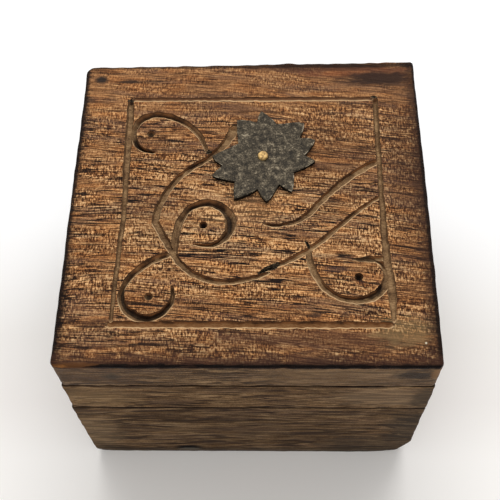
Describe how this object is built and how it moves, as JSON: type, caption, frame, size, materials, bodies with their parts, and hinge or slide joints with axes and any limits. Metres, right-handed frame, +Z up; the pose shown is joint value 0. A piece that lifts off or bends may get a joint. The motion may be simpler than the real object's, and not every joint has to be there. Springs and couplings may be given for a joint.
{
  "type": "wooden puzzle box",
  "caption": "Square wooden box with a carved lid board, an applied iron flower, and a lift-off lid that two hidden sliding bars lock.",
  "frame": {"origin": "middle of the underside, where the box stands on a surface", "axes": "+X to the right along the front, +Z up, front faces -Y"},
  "size_m": [0.102, 0.1006, 0.0787],
  "materials": {
    "carved_wood": "oiled, worn, with burnt edges",
    "rim_wood": "dull, weathered",
    "base_wood": "dull, weathered",
    "raw_wood": "planed, unfinished",
    "bar_wood": "dark hardwood, waxed",
    "iron": "hammered, patinated",
    "brass": "aged",
    "steel": "plain"
  },
  "bodies": {
    "base": {"base_front": "base_wood", "base_back": "base_wood", "base_left": "base_wood", "base_right": "base_wood", "bottom_board": "raw_wood", "bottom_brads": "steel", "liner_front": "raw_wood", "liner_back": "raw_wood", "liner_left": "raw_wood", "liner_right": "raw_wood"},
    "lid": {"lid_board": "carved_wood", "rim_front": "rim_wood", "rim_back": "rim_wood", "rim_left": "rim_wood", "rim_right": "rim_wood", "flower": "iron", "flower_pin": "brass"},
    "front_bolt": {"lock_bar_front": "bar_wood", "lock_peg_front": "steel"},
    "back_bolt": {"lock_bar_back": "bar_wood", "lock_peg_back": "steel"}
  },
  "joints": [
    {"name": "lid_lift", "type": "slide", "parent": "base", "child": "lid", "axis": [0, 0, 1], "range_m": [0, 0.06]},
    {"name": "front_bar_slide", "type": "slide", "parent": "lid", "child": "front_bolt", "axis": [1, 0, 0], "range_m": [0, 0.008]},
    {"name": "back_bar_slide", "type": "slide", "parent": "lid", "child": "back_bolt", "axis": [-1, 0, 0], "range_m": [0, 0.008]}
  ]
}
